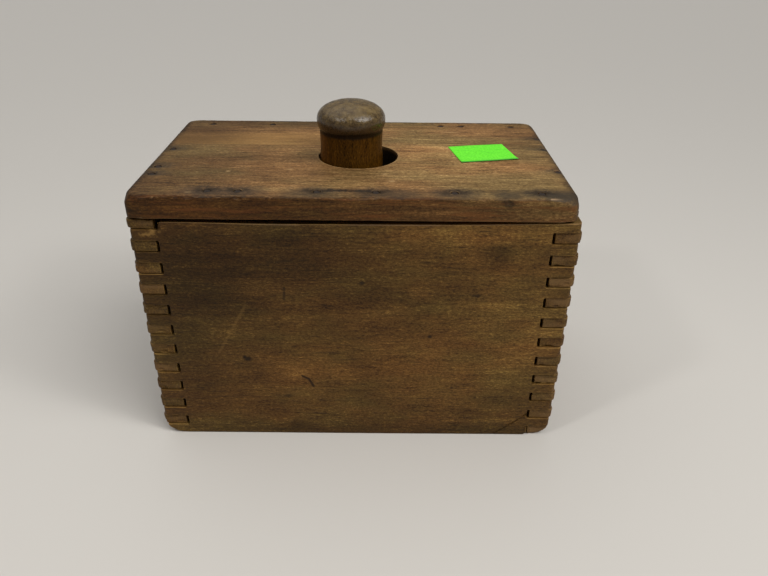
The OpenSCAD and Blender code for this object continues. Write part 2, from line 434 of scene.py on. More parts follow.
def wood(
    name, axes, pith, tone, seed, figure=PLAIN_FIGURE, shine=bare_shine, rub_and_highlight=0.7, layers=()
):
    """Old hardwood, its grain along the first of axes and its rings round pith in the other two.
    tone runs from dark to light, and rub is how far arrises are painted towards its lightest, as
    wear and as a painted highlight.
    Each layer(tree, colour, place) lays marks on the colour."""
    tree = Tree(name)
    place = tree.vector("ADD", tree.frame_mm(axes), (seed * SEED_STRIDE, 0, 0))
    grain = tree.swayed(place, SWAY_NOISE, GRAIN_SWAY)
    outward = tree.vector("MULTIPLY_ADD", grain, (0, 1, 1), (0, -pith[0], -pith[1]))
    along = tree.axes_of(grain)["X"]
    turned = tree.add("ShaderNodeCombineXYZ", along, tree.vector("LENGTH", outward)).outputs[0]
    ring = tree.noise(turned, *RING_NOISE)
    fibre = tree.noise(grain, *FIBRE_NOISE)
    fleck = tree.noise(grain, *FLECK_NOISE)
    mottle = tree.noise(place, *MOTTLE_NOISE)
    value = 0.5
    for part, weight in zip((ring, fibre, fleck, mottle), figure):
        value = tree.math("MULTIPLY_ADD", tree.math("SUBTRACT", part, 0.5), weight, value)
    colour = tree.blend(value, tone)
    drift = tree.step(tree.noise(place, *DRIFT_NOISE), 0.35, 0.65)
    tint = tree.blend(drift, (OLIVE_DRIFT, RED_DRIFT))
    colour = tree.mix(1.0, colour, tint, "MULTIPLY")
    pore = tree.step(tree.noise(grain, *PORE_NOISE), 0.62, 0.72)
    colour = tree.mix(tree.math("MULTIPLY", pore, 0.4), colour, tone[0])
    grime = tree.step(tree.noise(place, *GRIME_NOISE), 0.41, 0.27, 0.45)
    colour = tree.mix(grime, colour, GRIME_AND_SHADE)
    rough_place = tree.swayed(tree.frame_mm(), WOBBLE_NOISE, MARK_WOBBLE)
    for layer in layers:
        colour = layer(tree, colour, rough_place)
    arris = tree.arris()
    # Inner corners darker: dirt, and painted shade where shade falls
    colour = tree.mix(tree.step(arris, -0.2, -0.6, 0.75), colour, GRIME_AND_SHADE)
    # Arrises paler towards the lightest tone: wear, and painted highlight
    patches = tree.step(mottle, 0.38, 0.58, rub_and_highlight)
    rubbed = tree.math("MULTIPLY", tree.step(arris, 0.15, 0.45), patches)
    colour = tree.mix(rubbed, colour, tone[-1])
    tree.surface("Base Color", colour)
    least_rough, specular = shine(tree)
    rough = tree.math("MULTIPLY_ADD", fibre, 0.3, least_rough)
    tree.surface("Roughness", tree.math("MULTIPLY_ADD", grime, 0.12, rough))
    tree.surface("Specular IOR Level", specular)
    height = tree.math("MULTIPLY_ADD", pore, -0.4, tree.math("ADD", fibre, fleck))
    tree.bump(height, 0.3, 0.4)
    return tree.material


# Nail places, read from the frame

# Thickness of the slice that holds the tops of the heads, and the most that one head spreads
HEAD_SLICE = 0.1
HEAD_SPREAD = 4


def nail_centres(node):
    """Centre of each nail head of a node, in millimetres."""
    co = read_vectors(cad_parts[node].data.vertices, "co") / MM
    heads = co[co[:, 2] > co[:, 2].max() - HEAD_SLICE]
    centres = []
    while len(heads):
        near = np.linalg.norm(heads - heads[0], axis=1) < HEAD_SPREAD
        low, high = heads[near].min(axis=0), heads[near].max(axis=0)
        centres.append((low + high) / 2)
        heads = heads[~near]
    return centres


NAIL_NODES = [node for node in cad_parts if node.endswith("_nails")]
NAILS = {node: nail_centres(node) for node in NAIL_NODES}
ALL_NAILS = [centre for node in NAIL_NODES for centre in NAILS[node]]


# Wear of a board

# Depth of a board's slow hollows, and the range of a dent's radius
HOLLOW = 0.12
DENT_R = (0.8, 2.6)


def dents(co, seed, low, high, count, deepest):
    """Small scattered knocks in the region from low to high."""
    rng = np.random.default_rng(seed)
    depth = np.zeros(len(co))
    for _ in range(count):
        centre = rng.uniform(low, high)
        radius = rng.uniform(*DENT_R)
        stretch = np.array([rng.uniform(0.5, 1.0), 1.0, rng.uniform(0.8, 1.4)])
        reach = np.linalg.norm((co - centre) * stretch, axis=1)
        depth = np.maximum(depth, rng.uniform(0.3, 1.0) * deepest * dip(reach, radius))
    return depth


def uneven(co, seed, deepest):
    """Slow hollows of a hand-planed and shrunken board."""
    return deepest * lattice_noise(co, (60, 30, 30), seed)


# Walls

WALL_TONE = (rgb(30, 19, 7), rgb(75, 52, 23), rgb(99, 73, 35), rgb(150, 116, 61))
SCRUBBED_WOOD = rgb(140, 112, 76)
SAWN_END = rgb(126, 97, 62)
# Painted highlight on the front wall's top arris
TOP_ARRIS_HIGHLIGHT = rgb(140, 114, 88)
DARK_KNOCK = rgb(24, 17, 10)
PALE_SCRATCH = rgb(142, 108, 58)
SAW_NOISE = ((0.1, 0.1, 1.5), 3.0, 0.7)
FINGER_NOISE = ((0.03, 0.03, 0.11), 2.0, 0.7)
FINGER_COUNT = 22
FINGER_W = SIDE_HIGH[2] / FINGER_COUNT
# How far from the box's middle, along y, the wear of the corners starts and is full
CORNER_Y = (36, 45)
# Marks on the front wall's face, as x and z
CRACK = [(60.5, 0), (65, 3.6), (69, 6.6), (75.6, 12.5)]
CRACK_DEPTH = 0.9
CRACK_W = 0.5
NOTCH_CHIP = (-75.4, 102)
NOTCH_CHIP_R = (2.6, 4.0)
NOTCH_CHIP_DEPTH = 1.1
SCRATCH = ((-44.7, 66.7), (-57.6, 43.8))
# How deep the smears with their painted shade and light, the rubbed spot and the knocks on the
# front wall's face go
SMEAR_SHADE_LIGHT_DEPTH = 8
RUBBED_DEPTH = 5
KNOCK_DEPTH = 3
# How far the front wall's top edge is worn down, the middle of that dip, and how far from the
# middle it ends and is full
FRONT_DIP = 0.7
FRONT_DIP_X = 5
FRONT_DIP_REACH = (74, 30)
# How far the left wall's top front finger is worn down
LEFT_DIP = 0.9
# The lowest slot at the front wall's right shoulder, packed with dirt
SHOULDER_X = 75.0
CLOSED_SLOT = 0.9


def wall_wear(seed):
    """Rounding of the fingers' outer ends and of the lower edges, more in some patches."""
    def wear(co):
        patches = ramp(lattice_noise(co, 5.0, seed), 0.35, 0.75)
        corners = ramp(np.abs(co[:, 1]), *CORNER_Y)
        ends = ramp(np.abs(co[:, 0]), OUTER_X - 2.6, OUTER_X - 0.6) * corners
        foot = ramp(co[:, 2], 2.5, 0)
        return np.clip(0.08 * patches + (0.3 + 0.5 * patches) * ends + 0.4 * foot, 0, 1)
    return wear


def front_drop(co):
    """The front wall's top edge, worn lower along its middle."""
    middle = ramp(np.abs(co[:, 0] - FRONT_DIP_X), *FRONT_DIP_REACH)
    return FRONT_DIP * middle * ramp(co[:, 2], FRONT_HIGH[2] - 5, FRONT_HIGH[2] - 1.5)


def left_drop(co):
    """The left wall's top finger, clear of the lid at its front end."""
    front = ramp(co[:, 1], FRONT_Y + 13, FRONT_Y + 8)
    return LEFT_DIP * front * ramp(co[:, 2], SIDE_HIGH[2] - 4, SIDE_HIGH[2] - 1)


def front_carve(co, normals):
    """The front wall's hollows, crack, chip and dents, and the dirt that fills its lowest slot."""
    face = ramp(-normals[:, 1], 0.5, 0.9)
    flat = co[:, [0, 2]]
    waver = 0.5 * lattice_noise(co, 2.0, 32) - 0.25
    crack = face * CRACK_DEPTH * dip(path_distance(flat, CRACK) + waver, CRACK_W)
    chip = np.linalg.norm((flat - NOTCH_CHIP) / NOTCH_CHIP_R, axis=1)
    chip = NOTCH_CHIP_DEPTH * dip(chip, 1.0)
    shoulder = ramp(normals[:, 0], 0.5, 0.9) * dip(np.abs(co[:, 0] - SHOULDER_X), 1.0)
    dirt = CLOSED_SLOT * shoulder * ramp(co[:, 2], 0.4, 1.2) * (co[:, 2] < FINGER_W + 0.5)
    low = FRONT_LOW + (11, -1, 3)
    high = FRONT_HIGH * (1, 0, 1) + (-11, FRONT_Y + 1, -3)
    knocks = face * dents(co, 33, low, high, count=40, deepest=0.2)
    return uneven(co, 31, HOLLOW) + crack + chip - dirt + knocks


def wall_carve(node, seed):
    """Hollows and knocks over a whole wall, with chipped finger ends on the end walls."""
    low, high = box_mm(node)
    is_end_wall = high[0] - low[0] < high[1] - low[1]

    def carve(co, normals):
        depth = uneven(co, seed, HOLLOW)
        depth += dents(co, seed, low, high, count=60, deepest=0.25)
        if is_end_wall:
            ends = ramp(np.abs(co[:, 1]), high[1] - 2.5, high[1] - 0.8)
            set_back = lattice_noise(co * (0, 0, 1), 2 * FINGER_W, seed)
            chips = ramp(lattice_noise(co, (2.6, 2.6, 1.5), seed + 1), 0.6, 0.85)
            depth += ends * (0.2 * set_back + 0.4 * chips)
        return depth
    return carve


def on_front(x, z):
    return (x, FRONT_Y, z)


def face_spots(tree, place, depth, spots):
    """Soft spots of that depth on the front wall's face. A spot is x, z, its radii along them
    and its strength."""
    return tree.spots(place, [
        (on_front(x, z), (x_r, depth, z_r), strength) for x, z, x_r, z_r, strength in spots
    ])


def front_smears_shade_and_light(tree, colour, place):
    """Dark smears with painted shade on the front wall's face, and patches of painted light."""
    # Painted shade, darker to the upper left, and a painted contact shadow along the foot, over
    # dark smears
    shade = face_spots(tree, place, SMEAR_SHADE_LIGHT_DEPTH, [
        (-34, 88, 62, 24, 0.6),
        (-62, 84, 52, 44, 0.73),
        (0, 74, 26, 14, 0.35),
        (55, 90, 9, 8, 0.45),
        (-72, 45, 24, 60, 0.45),
        (0, 1, 110, 9, 0.5),
    ])
    colour = tree.mix(shade, colour, SHADE_AND_DIRT, "MULTIPLY")
    # Painted light, brighter to the right and along the top right
    light = face_spots(tree, place, SMEAR_SHADE_LIGHT_DEPTH, [
        (-18, 30, 30, 24, 0.25),
        (62, 55, 34, 46, 0.32),
        (32, 34, 40, 30, 0.3),
        (52, 101, 60, 11, 0.4),
    ])
    return tree.mix(light, colour, PAINTED_LIGHT, "MULTIPLY")


def front_top_highlight(tree, colour, place):
    """The front wall's top arris, painted pale as a highlight."""
    height = tree.axes_of(tree.frame_mm())["Z"]
    top = tree.step(height, FRONT_HIGH[2] - 4, FRONT_HIGH[2] - 3, 0.45)
    top = tree.math("MULTIPLY", top, tree.step(tree.arris(), 0.05, 0.3))
    return tree.mix(top, colour, TOP_ARRIS_HIGHLIGHT)


def front_knocks(tree, colour, place):
    """Dark knocks, dashes and the crack on the front wall's face."""
    fine = tree.frame_mm()
    knocks = face_spots(tree, fine, KNOCK_DEPTH, [
        (-45.8, 40.7, 2.8, 1.9, 0.9),
        (-47.0, 41.6, 1.4, 1.6, 0.9),
        (30.3, 52.7, 1.5, 1.3, 0.85),
        (2.4, 77.8, 1.7, 1.5, 0.8),
        (48.1, 72.4, 3.2, 1.3, 0.7),
        (-30.1, 21.1, 2.6, 1.2, 0.6),
        (40.9, 26.2, 1.4, 1.0, 0.6),
        (51.4, 21, 1.2, 1.0, 0.6),
    ])
    dashes = [
        ((-23.3, 32.0), (-20.6, 30.4), 0.9, 0.85),
        ((-20.6, 30.4), (-18.8, 26.6), 0.9, 0.85),
        ((-28.5, 75.2), (-28.8, 70.2), 0.9, 0.6),
        ((-34.3, 86.6), (-25.0, 87.2), 0.9, 0.4),
    ]
    dashes += [(a, b, 0.6, 0.9) for a, b in zip(CRACK[:-1], CRACK[1:])]
    for start, end, width, strength in dashes:
        line = tree.stroke(fine, on_front(*start), on_front(*end), width, strength)
        knocks = tree.math("MAXIMUM", knocks, line)
    return tree.mix(knocks, colour, DARK_KNOCK)


def front_scratches(tree, colour, place):
    """A long faint scratch on the front wall's face, and a rubbed spot at its left edge."""
    start, end = SCRATCH
    scratch = tree.stroke(tree.frame_mm(), on_front(*start), on_front(*end), 0.9, 0.17)
    rubbed = face_spots(tree, place, RUBBED_DEPTH, [(-78, 98.6, 4.6, 1.8, 0.7)])
    return tree.mix(tree.math("MAXIMUM", scratch, rubbed), colour, PALE_SCRATCH)


def scrubbed(tree, colour, place):
    """Paler, washed wood on the walls' inner faces."""
    axes = tree.axes_of(tree.frame_mm())
    x = tree.math("SUBTRACT", tree.math("ABSOLUTE", axes["X"]), PLATE_HIGH[0])
    y = tree.math("SUBTRACT", tree.math("ABSOLUTE", axes["Y"]), PLATE_HIGH[1])
    inside = tree.step(tree.math("MAXIMUM", x, y), 1.6, 1.2, 0.5)
    return tree.mix(inside, colour, SCRUBBED_WOOD)


def end_grain(tree, colour, place):
    """Paler, sawn ends on the fingers of the end walls, some more than others."""
    fine = tree.frame_mm()
    on_end = tree.step(tree.math("ABSOLUTE", tree.facing("Y")), 0.6, 0.95)
    finger = tree.step(tree.noise(fine, *FINGER_NOISE), 0.36, 0.62, 0.5)
    colour = tree.mix(tree.math("MULTIPLY", on_end, finger), colour, SAWN_END)
    lines = tree.step(tree.noise(fine, *SAW_NOISE), 0.46, 0.3, 0.4)
    return tree.mix(tree.math("MULTIPLY", on_end, lines), colour, GRIME_AND_SHADE)


def make_walls():
    front_layers = (front_smears_shade_and_light, front_top_highlight, front_knocks, front_scratches, scrubbed)
    end_layers = (end_grain, scrubbed)
    front = wood("front_wall_wood", "XYZ", (150, 40), WALL_TONE, 1, rub_and_highlight=0.95, layers=front_layers)
    back = wood("back_wall_wood", "XYZ", (-150, 40), WALL_TONE, 2, layers=(scrubbed,))
    left = wood("left_wall_wood", "YXZ", (-60, -170), WALL_TONE, 3, layers=end_layers)
    right = wood("right_wall_wood", "YXZ", (60, 260), WALL_TONE, 4, layers=end_layers)
    walls = {
        "front_wall": (front, front_carve, front_drop),
        "back_wall": (back, wall_carve("back_wall", 42), None),
        "left_wall": (left, wall_carve("left_wall", 43), left_drop),
        "right_wall": (right, wall_carve("right_wall", 44), None),
    }
    for seed, (node, (material, carve, drop)) in enumerate(walls.items()):
        wear = wall_wear(seed)
        board = worn_copy(node, node + "_board", wear, carve, WALL_VOXEL, WALL_TRIANGLES, drop)
        finish_piece(board, "box", "wall_wood", material, node)


# Lid

LID_TONE = (rgb(56, 37, 18), rgb(110, 82, 49), rgb(138, 107, 67), rgb(186, 149, 99))
PALE_BAND = rgb(176, 134, 76)
RED_STREAK = rgb(104, 60, 26)
BARE_ARRIS = rgb(168, 128, 84)
# Painted highlight on a splinter of the lid's front arris
SPLINTER_HIGHLIGHT = rgb(180, 148, 112)
PALE_NICK = rgb(190, 154, 104)
IRON_SMUDGE = rgb(54, 47, 38)
IRON_STAIN = rgb(38, 28, 17)
# Factor on the wood's colour where the painted shade on the lid's front face is darkest, and the
# stretch along x over which that painted shade deepens, from a place beyond the lid's right end
LID_FRONT_SHADE = (0.21, 0.14, 0.03, 1.0)
LID_FRONT_SHADE_FADE = (290, -70)
STREAK_NOISE = ((0.03, 0.5, 0.5), 4.0, 0.75)
NICK_NOISE = ((0.2, 0.9, 0.9), 4.0, 0.8)
# Radius of the lid's corners in plan, and how far the lower front ones stand out past it
LID_CORNER_R = 8
CORNER_FILL = 1.2
# Radius of the lid's worn upper edge, and what its front and its front corners add to that
EDGE_R = 1.0
FRONT_EDGE_R = 0.5
CORNER_EDGE_R = 2.8
# Where the pale band on the lid fades in: along y from its front and its back, and along x
BAND_FRONT = (11, 12.4)
BAND_BACK = (34, 24)
BAND_RIGHT = (14, -40)
# How deep the patches of painted shade and dirt, the patches of painted light and the nicks on the
# lid's top go
SHADED_PATCH_DEPTH = 16
LIT_PATCH_DEPTH = 14
NICK_DEPTH = 2
# Keeps a division by a point's reach from zero
LEAST_REACH = 0.001
# The split between two front nails, as x and y, a splinter that carries a painted highlight and
# chips on the front arris, the pits round the nails, and the mark of a stray nail in the front face
SPLIT = [(-11, -43.4), (-5, -43.0), (1, -43.5), (4.5, -43.2), (9, -43.6)]
SPLIT_DEPTH = 0.6
SPLIT_W = 0.6
SPLINTER = ((72.5, LID_LOW[1] + 0.5, LID_TOP), (80, LID_LOW[1] + 1.2, LID_TOP))
CHIP_DEPTH = 0.5
CHIP_REACH = 1.8
PIT_DEPTH = 0.25
PIT_R = 3.0
FACE_NAIL = (57, LID_LOW[1], 112.6)
FACE_NAIL_DEPTH = 0.5
FACE_NAIL_R = 1.6
# Grey smudges along the front edge, as x, x radius and strength
EDGE_SMUDGES = ((-20, 12, 0.6), (16, 16, 0.6), (57, 10, 0.7), (76, 19, 0.9))
EDGE_SMUDGE_Y = -46
# The handle hole, from those of the lid's own points that lie near the handle
HOLE_SEARCH = 30
LID_POINTS = read_vectors(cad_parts["top_board"].data.vertices, "co") / MM
HOLE_POINTS = LID_POINTS[np.linalg.norm(LID_POINTS[:, :2] - HANDLE_AXIS, axis=1) < HOLE_SEARCH]
HOLE_AT = (HOLE_POINTS.min(axis=0) + HOLE_POINTS.max(axis=0))[:2] / 2
HOLE_R = (HOLE_POINTS.max(axis=0) - HOLE_POINTS.min(axis=0))[0] / 2


def lid_wear(co):
    return 0.2 * ramp(lattice_noise(co, 7.0, 51), 0.45, 0.8)


def past_corner_centres(co):
    """How far points lie beyond the centres of the lid's corner arcs, in x and y."""
    return np.abs(co[:, :2] - LID_MIDDLE) - (LID_HALF - LID_CORNER_R)


def worn_edge(co):
    """Rounds the lid's upper edge, most at its front corners and unevenly along its front."""
    beyond = past_corner_centres(co)
    outside = np.linalg.norm(np.maximum(beyond, 0), axis=1) + np.minimum(beyond.max(axis=1), 0)
    inward = LID_CORNER_R - outside
    front = ramp(co[:, 1], LID_LOW[1] + 12, LID_LOW[1] + 6)
    corner = front * ramp(LID_HALF[0] - np.abs(co[:, 0] - LID_MIDDLE[0]), 14, 4)
    patches = ramp(lattice_noise(co * (1, 0, 0), 5.0, 52), 0.25, 0.75)
    radius = EDGE_R + FRONT_EDGE_R * front * patches + CORNER_EDGE_R * corner
    below = LID_TOP - co[:, 2]
    reach = np.hypot(np.maximum(radius - inward, 0), np.maximum(radius - below, 0))
    return np.maximum(reach - radius, 0)


def full_corner(co, normals):
    """How far the lid's lower front corners stand out past the round of its upper ones."""
    beyond = np.maximum(past_corner_centres(co), 0)
    reach = np.maximum(np.linalg.norm(beyond, axis=1), LEAST_REACH)
    diagonal = 2 * beyond.prod(axis=1) / reach ** 2
    side = ramp(np.abs(normals[:, 2]), 0.7, 0.3)
    side = side * ramp(reach, LID_CORNER_R - 1.5, LID_CORNER_R - 0.5)
    low = ramp(LID_TOP - co[:, 2], 1, 4.5) * (co[:, 1] < LID_MIDDLE[1])
    return CORNER_FILL * diagonal ** 4 * side * low


def lid_carve(co, normals):
    """The lid's hollows, worn edge, corners, split, chips, nail pits and dents."""
    depth = uneven(co, 53, HOLLOW) + worn_edge(co) - full_corner(co, normals)
    up = ramp(normals[:, 2], 0.4, 0.9)
    waver = 0.6 * lattice_noise(co, 3.0, 54) - 0.3
    depth += up * SPLIT_DEPTH * dip(path_distance(co[:, :2], SPLIT) + waver, SPLIT_W)
    arris = np.hypot(co[:, 1] - LID_LOW[1], co[:, 2] - LID_TOP)
    chips = ramp(lattice_noise(co, (2.0, 1.3, 1.3), 55) * lattice_noise(co, 14, 57), 0.26, 0.5)
    depth += CHIP_DEPTH * chips * dip(arris, CHIP_REACH)
    for centre in ALL_NAILS:
        away = np.linalg.norm(co[:, :2] - centre[:2], axis=1)
        depth += up * PIT_DEPTH * dip(away, PIT_R)
    depth += FACE_NAIL_DEPTH * dip(np.linalg.norm(co - FACE_NAIL, axis=1), FACE_NAIL_R)
    low, high = LID_LOW + (4, 4, 9), LID_HIGH - (4, 4, -1)
    return depth + up * dents(co, 56, low, high, count=40, deepest=0.2)


def lid_spots(tree, place, depth, spots):
    """Soft spots of that depth on the lid's top. A spot is x, y, its radii along them and its
    strength."""
    return tree.spots(place, [
        ((x, y, LID_TOP), (x_r, y_r, depth), strength) for x, y, x_r, y_r, strength in spots
    ])


def lid_band_shade_and_light(tree, colour, place):
    """A pale band along the lid's back left, dark patches of dirt and painted shade, darker to the
    left and with a painted shadow in front of the handle, and patches of painted light, most beside
    the handle.
    """
    across = tree.axes_of(tree.frame_mm())["Y"]
    band = tree.math("MULTIPLY", tree.step(across, *BAND_FRONT), tree.step(across, *BAND_BACK))
    left = tree.step(tree.axes_of(place)["X"], *BAND_RIGHT, 0.42)
    colour = tree.mix(tree.math("MULTIPLY", band, left), colour, PALE_BAND)
    # Painted shade and dirt: darker to the left, and a painted shadow in front of the handle
    shaded_patches = lid_spots(tree, place, SHADED_PATCH_DEPTH, [
        (-64, -18, 54, 34, 0.46),
        (-4, -25, 27, 12, 0.34),
        (-80, 26, 44, 34, 0.65),
        (-84, -40, 30, 20, 0.6),
        (-60, 44, 90, 12, 0.6),
        (74, 25, 12, 34, 0.22),
    ])
    colour = tree.mix(shaded_patches, colour, SHADE_AND_DIRT, "MULTIPLY")
    # Painted light, lifting the handle's shadow beside it and brightening the right
    lit_patches = lid_spots(tree, place, LIT_PATCH_DEPTH, [
        (34, -15, 52, 20, 0.5),
        (-36, -16, 26, 9, 0.3),
        (30, 2, 38, 20, 0.75),
        (-24, 6, 18, 11, 0.65),
        (32, 30, 50, 16, 0.2),
    ])
    return tree.mix(tree.math("MULTIPLY", lit_patches, 0.6), colour, PAINTED_LIGHT, "MULTIPLY")


def on_lid_front(tree):
    """1 on the lid's front face, and 0 on its other faces."""
    return tree.step(tree.facing("Y"), -0.2, -0.6)


def lid_rims(tree, colour, place):
    """Dirt along the rims of the lid."""
    axes = tree.axes_of(place)
    from_middle = tree.math("ABSOLUTE", tree.math("SUBTRACT", axes["X"], LID_MIDDLE[0]))
    ends = tree.step(from_middle, LID_HALF[0] - 6, LID_HALF[0] - 0.5, 0.75)
    back = tree.step(axes["Y"], LID_HIGH[1] - 4, LID_HIGH[1] - 0.5, 0.65)
    front = tree.step(axes["Y"], LID_LOW[1] + 5, LID_LOW[1] + 1.5, 0.2)
    rim = tree.math("MAXIMUM", tree.math("MAXIMUM", ends, back), front)
    rim = tree.math("MULTIPLY", rim, tree.math("SUBTRACT", 1.0, on_lid_front(tree)))
    return tree.mix(rim, colour, GRIME_AND_SHADE)


def lid_front_shade_and_streaks(tree, colour, place):
    """The lid's front face, darkened towards its left as painted shade, with red streaks."""
    front = on_lid_front(tree)
    # Painted shade, deepening towards the left end
    dark = tree.step(tree.axes_of(place)["X"], *LID_FRONT_SHADE_FADE, 0.93)
    colour = tree.mix(tree.math("MULTIPLY", front, dark), colour, LID_FRONT_SHADE, "MULTIPLY")
    streak = tree.step(tree.noise(tree.frame_mm(), *STREAK_NOISE), 0.48, 0.64, 0.5)
    return tree.mix(tree.math("MULTIPLY", front, streak), colour, RED_STREAK)


def lid_arris(tree, colour, place):
    """Dirty and bare nicks along the lid's front arris."""
    fine = tree.frame_mm()
    arris = tree.spots(fine, [((0, LID_LOW[1], LID_TOP), (400, 2.2, 2.2), 1.0)])
    nick = tree.noise(fine, *NICK_NOISE)
    dirty = tree.math("MULTIPLY", arris, tree.step(nick, 0.55, 0.64, 0.6))
    colour = tree.mix(dirty, colour, GRIME_AND_SHADE)
    bare = tree.math("MULTIPLY", arris, tree.step(nick, 0.43, 0.35, 0.5))
    return tree.mix(bare, colour, BARE_ARRIS)


def lid_nicks(tree, colour, place):
    """The dark split near the lid's front edge, and light nicks."""
    split = 0.0
    for start, end in zip(SPLIT[:-1], SPLIT[1:]):
        line = tree.stroke(place, (*start, LID_TOP), (*end, LID_TOP), 1.4, 0.85)
        split = tree.math("MAXIMUM", line, split)
    colour = tree.mix(split, colour, GRIME_AND_SHADE)
    nicks = lid_spots(tree, tree.frame_mm(), NICK_DEPTH, [
        (-51.7, -23.2, 1.5, 0.9, 0.7),
        (-27.4, -20.2, 2.4, 1.2, 0.35),
        (-62, -46, 2.2, 1.4, 0.6),
        (11, -24.9, 1.5, 1.3, 0.5),
        (13.8, -32.7, 2.0, 1.4, 0.55),
        (42, 33, 6, 0.9, 0.6),
    ])
    return tree.mix(nicks, colour, PALE_NICK)


def lid_stains(tree, colour, place):
    """Grey smudges and dark iron stains round the nails."""
    smudges = [((x, y - 1, z), (17, 8, 12), 0.75) for x, y, z in NAILS["front_nails"]]
    side_nails = NAILS["left_nails"] + NAILS["right_nails"]
    smudges += [((x, y, z), (11, 5, 7), 0.6) for x, y, z in side_nails]
    smudges += [
        ((x, EDGE_SMUDGE_Y, LID_TOP), (x_r, 8, 10), strength) for x, x_r, strength in EDGE_SMUDGES
    ]
    on_top = tree.step(tree.facing("Z"), 0.3, 0.75)
    smudged = tree.math("MULTIPLY", on_top, tree.spots(place, smudges))
    colour = tree.mix(smudged, colour, IRON_SMUDGE)
    cores = [((x, y, z), (8, 3.4, 5), 0.8) for x, y, z in NAILS["front_nails"]]
    cores += [((x, y, z), (3.0, 2.2, 4), 0.8) for x, y, z in ALL_NAILS]
    cores.append((FACE_NAIL, (3.4, 3, 2.8), 0.7))
    return tree.mix(tree.spots(place, cores), colour, IRON_STAIN)


def lid_splinter_highlight(tree, colour, place):
    """A painted highlight on a lifted splinter at the lid's front arris."""
    splinter = tree.stroke(tree.frame_mm(), *SPLINTER, 0.8, 0.8)
    return tree.mix(splinter, colour, SPLINTER_HIGHLIGHT)


def hole_shade_and_rim_highlight(tree, colour, place):
    """Painted shade on the handle hole's wall, below a rim painted pale as a highlight."""
    fine = tree.frame_mm()
    reach = tree.vector("LENGTH", tree.vector("MULTIPLY_ADD", fine, (1, 1, 0), (*-HOLE_AT, 0)))
    # Painted highlight on the hole's rim
    rim = tree.step(reach, HOLE_R + 1.4, HOLE_R + 0.4, 0.4)
    colour = tree.mix(rim, colour, LID_TONE[-1])
    # Painted shade inside the hole
    depth = tree.step(tree.axes_of(fine)["Z"], LID_TOP - 0.6, LID_TOP - 2.4, 0.9)
    dirt = tree.math("MULTIPLY", tree.step(reach, HOLE_R + 0.6, HOLE_R + 0.2), depth)
    return tree.mix(dirt, colour, GRIME_AND_SHADE)


def end_dirt(tree, colour, place):
    """Dirt held by the lid's end grain."""
    facing = tree.math("ABSOLUTE", tree.facing("X"))
    return tree.mix(tree.step(facing, 0.5, 0.95, 0.5), colour, GRIME_AND_SHADE)


def make_lid():
    layers = (
        lid_band_shade_and_light, lid_rims, lid_front_shade_and_streaks, lid_arris, lid_nicks, lid_stains, lid_splinter_highlight, hole_shade_and_rim_highlight,
        end_dirt
    )
    material = wood("lid_wood", "XYZ", (-8, 40), LID_TONE, 5, LID_FIGURE, rub_and_highlight=0.45, layers=layers)
    board = worn_copy("top_board", "lid_board", lid_wear, lid_carve)
    finish_piece(board, "box", "lid_wood", material, "top_board")


# Plunger

SHANK_TONE = (rgb(28, 13, 1), rgb(64, 37, 5), rgb(80, 48, 8), rgb(104, 65, 16))
PLATE_TONE = (rgb(92, 66, 38), rgb(130, 100, 64), rgb(150, 120, 82), rgb(180, 148, 106))
PATINA = (rgb(48, 33, 13), rgb(94, 75, 42), rgb(134, 112, 70))
CAP_SIDE = rgb(54, 36, 15)
DARK_SPECK = rgb(28, 19, 8)
PALE_SPECK = rgb(152, 134, 96)
LIP_SHADE = rgb(20, 12, 5)
PATINA_NOISE = ((0.35, 0.35, 0.35), 7.0, 0.8)
SPECK_NOISE = ((1.4, 1.4, 1.4), 2.0, 0.8)
# The knob's lip, below its top
LIP_DROP = 11.4
LIP_Z = KNOB_TOP - LIP_DROP
# The shank is rubbed thinner above the lid: how deep, how high up and how far to each side of that
RUB_DEPTH = 0.25
RUB_HEIGHT = 6
RUB_REACH = 7
HANDLE_HOLLOW = 0.15
# Half the width and the height of the region of the knob that is dented
DENTED_HALF = 14
DENTED_HEIGHT = 12


def handle_wear(co):
    return 0.25 + 0.2 * ramp(lattice_noise(co, 6.0, 61), 0.45, 0.8)


def handle_carve(co, normals):
    """The handle's hollows, its rubbed shank and the dents in its knob."""
    depth = uneven(co, 62, HANDLE_HOLLOW)
    depth += RUB_DEPTH * dip(np.abs(co[:, 2] - LID_TOP - RUB_HEIGHT), RUB_REACH)
    low = np.append(HANDLE_AXIS - DENTED_HALF, KNOB_TOP - DENTED_HEIGHT)
    high = np.append(HANDLE_AXIS + DENTED_HALF, KNOB_TOP)
    return depth + dents(co, 63, low, high, count=60, deepest=0.22)


def on_cap(tree):
    """1 on the knob's handled cap, and 0 on the shank."""
    return tree.step(tree.axes_of(tree.frame_mm())["Z"], LIP_Z, LIP_Z + 1.2)


def handle_shine(tree):
    """A polished cap on a duller shank."""
    cap = on_cap(tree)
    return [tree.math("MULTIPLY_ADD", cap, b - a, a) for a, b in zip(SHANK_SHINE, CAP_SHINE)]


